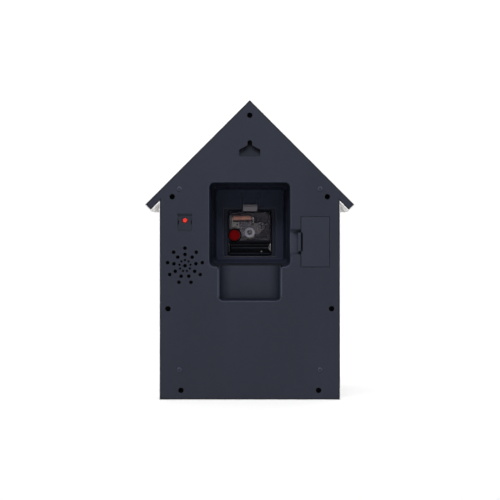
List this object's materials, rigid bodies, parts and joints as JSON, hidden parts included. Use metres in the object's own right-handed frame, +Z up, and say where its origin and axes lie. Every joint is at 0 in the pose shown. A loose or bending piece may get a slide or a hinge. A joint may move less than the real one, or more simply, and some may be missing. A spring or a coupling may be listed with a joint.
{
  "type": "cuckoo clock",
  "caption": "House-shaped battery cuckoo clock with a pale shell, slate back cover, recessed quartz movement, sliding bird, shutters and swinging pendulum.",
  "frame": {"origin": "middle of the box, at the underside of the base", "axes": "+Z up, -Y out of the dial, +Y out of the back cover"},
  "size_m": [0.264, 0.076, 0.376],
  "materials": {
    "shell_white": "satin moulded",
    "cover_slate": "fine satin grain",
    "screw_black": "blackened",
    "spring_steel": "bright",
    "button_red": "gloss",
    "board_green": "solder mask",
    "trim_black": "matt",
    "cone_paper": "pressed paper",
    "magnet_steel": "plated",
    "movement_grey": "moulded",
    "smoke_clear": "smoky clear",
    "coil_copper": "enamelled wire",
    "gear_brass": "satin",
    "gear_cream": "moulded",
    "knob_red": "gloss",
    "hand_white": "satin",
    "dial_slate": "satin",
    "bird_blue": "painted",
    "bird_wing": "painted",
    "beak_orange": "painted",
    "wire_red": "insulated"
  },
  "bodies": {
    "case": {"front_housing": "shell_white", "roof_trim": "shell_white", "back_cover": "cover_slate", "case_screws": "screw_black", "battery_contacts": "spring_steel", "button_bezel": "cover_slate", "movement_latch": "movement_grey", "main_board": "board_green", "tact_switch": "trim_black", "board_screws": "spring_steel", "speaker_basket": "trim_black", "speaker_cone": "cone_paper", "speaker_magnet": "magnet_steel", "speaker_ring": "trim_black", "movement_front_case": "movement_grey", "movement_rear_case": "smoke_clear", "drive_coil": "coil_copper", "stator": "spring_steel", "movement_board": "board_green", "movement_contacts": "spring_steel", "centre_nut": "gear_brass", "dial_plate": "dial_slate", "dial_markers": "hand_white", "dial_bezel": "hand_white", "window_frame": "dial_slate", "bird_frame": "movement_grey", "bird_motor": "spring_steel", "niche_frame": "dial_slate", "pendulum_niche": "dial_slate", "pendulum_bracket": "movement_grey", "pendulum_coil": "coil_copper", "speaker_wires": "wire_red", "battery_wires": "wire_red", "motor_wires": "wire_red"},
    "second_arbor": {"second_wheel": "gear_cream", "second_hand": "button_red"},
    "third_arbor": {"third_wheel": "gear_cream"},
    "centre_arbor": {"centre_wheel": "gear_brass"},
    "intermediate_arbor": {"intermediate_wheel": "gear_cream"},
    "rotor_arbor": {"rotor": "magnet_steel"},
    "minute_arbor": {"cannon_pinion": "gear_brass", "minute_hand": "hand_white"},
    "minute_wheel_arbor": {"minute_wheel": "gear_cream"},
    "hour_arbor": {"hour_wheel": "gear_cream", "hour_hand": "hand_white"},
    "setting_knob": {"set_knob": "knob_red"},
    "button": {"push_button": "button_red"},
    "door": {"battery_door": "cover_slate"},
    "bird": {"bird_carriage": "gear_cream", "bird_body": "bird_blue", "bird_wings": "bird_wing", "bird_beak": "beak_orange"},
    "rack_gear": {"drive_gear": "gear_cream"},
    "motor_gear": {"motor_pinion": "gear_brass"},
    "leaf_left": {"shutter_left": "dial_slate"},
    "leaf_right": {"shutter_right": "dial_slate"},
    "pendulum": {"pendulum_rod": "gear_brass", "pendulum_bob": "gear_brass", "bob_magnet": "magnet_steel"}
  },
  "joints": [
    {"name": "second_spin", "type": "hinge", "parent": "case", "child": "second_arbor", "pos_m": [0, -0.018, 0.21], "axis": [0, 1, 0], "continuous": true},
    {"name": "third_spin", "type": "hinge", "parent": "case", "child": "third_arbor", "pos_m": [-0.00736, -0.018, 0.21425], "axis": [0, 1, 0], "continuous": true},
    {"name": "centre_spin", "type": "hinge", "parent": "case", "child": "centre_arbor", "pos_m": [0, -0.018, 0.21], "axis": [0, 1, 0], "continuous": true},
    {"name": "intermediate_spin", "type": "hinge", "parent": "case", "child": "intermediate_arbor", "pos_m": [0.00299, -0.018, 0.21822], "axis": [0, 1, 0], "continuous": true},
    {"name": "rotor_spin", "type": "hinge", "parent": "case", "child": "rotor_arbor", "pos_m": [0.01024, -0.018, 0.22016], "axis": [0, 1, 0], "continuous": true},
    {"name": "minute_spin", "type": "hinge", "parent": "case", "child": "minute_arbor", "pos_m": [0, -0.018, 0.21], "axis": [0, 1, 0], "continuous": true},
    {"name": "minute_wheel_spin", "type": "hinge", "parent": "case", "child": "minute_wheel_arbor", "pos_m": [0.00932, -0.018, 0.20616], "axis": [0, 1, 0], "continuous": true},
    {"name": "hour_spin", "type": "hinge", "parent": "case", "child": "hour_arbor", "pos_m": [0, -0.018, 0.21], "axis": [0, 1, 0], "continuous": true},
    {"name": "knob_spin", "type": "hinge", "parent": "case", "child": "setting_knob", "pos_m": [0.0194, -0.018, 0.2063], "axis": [0, 1, 0], "continuous": true},
    {"name": "button_press", "type": "slide", "parent": "case", "child": "button", "axis": [0, -1, 0], "range_m": [0, 0.0012], "stiffness_N_per_m": 300},
    {"name": "battery_door_hinge", "type": "hinge", "parent": "case", "child": "door", "pos_m": [-0.099, 0.0358, 0.19775], "axis": [0, 0, 1], "range_deg": [0, 80]},
    {"name": "bird_slide", "type": "slide", "parent": "case", "child": "bird", "axis": [0, -1, 0], "range_m": [0, 0.03]},
    {"name": "drive_gear_spin", "type": "hinge", "parent": "case", "child": "rack_gear", "pos_m": [0, -0.012, 0.275], "axis": [1, 0, 0], "range_deg": [0, 573]},
    {"name": "motor_pinion_spin", "type": "hinge", "parent": "case", "child": "motor_gear", "pos_m": [0.012, -0.00334, 0.28], "axis": [1, 0, 0], "range_deg": [-1719, 0]},
    {"name": "shutter_left_hinge", "type": "hinge", "parent": "case", "child": "leaf_left", "pos_m": [-0.0206, -0.0296, 0.2965], "axis": [0, 0, -1], "range_deg": [0, 100]},
    {"name": "shutter_right_hinge", "type": "hinge", "parent": "case", "child": "leaf_right", "pos_m": [0.0206, -0.0296, 0.2965], "axis": [0, 0, 1], "range_deg": [0, 100]},
    {"name": "pendulum_swing", "type": "hinge", "parent": "case", "child": "pendulum", "pos_m": [0, -0.017, 0.14], "axis": [0, 1, 0], "range_deg": [-11, 11]}
  ],
  "couplings": [
    {"joint": "third_spin", "follows": "second_spin", "ratio": -0.13333},
    {"joint": "centre_spin", "follows": "second_spin", "ratio": 0.016667},
    {"joint": "intermediate_spin", "follows": "second_spin", "ratio": -6},
    {"joint": "rotor_spin", "follows": "second_spin", "ratio": 30},
    {"joint": "minute_wheel_spin", "follows": "minute_spin", "ratio": -0.33333},
    {"joint": "hour_spin", "follows": "minute_spin", "ratio": 0.083333},
    {"joint": "knob_spin", "follows": "minute_spin", "ratio": 1},
    {"joint": "drive_gear_spin", "follows": "bird_slide", "rad_per_m": 333.33},
    {"joint": "motor_pinion_spin", "follows": "bird_slide", "rad_per_m": -1000},
    {"joint": "shutter_left_hinge", "follows": "bird_slide", "rad_per_m": 58.167},
    {"joint": "shutter_right_hinge", "follows": "bird_slide", "rad_per_m": 58.167}
  ]
}
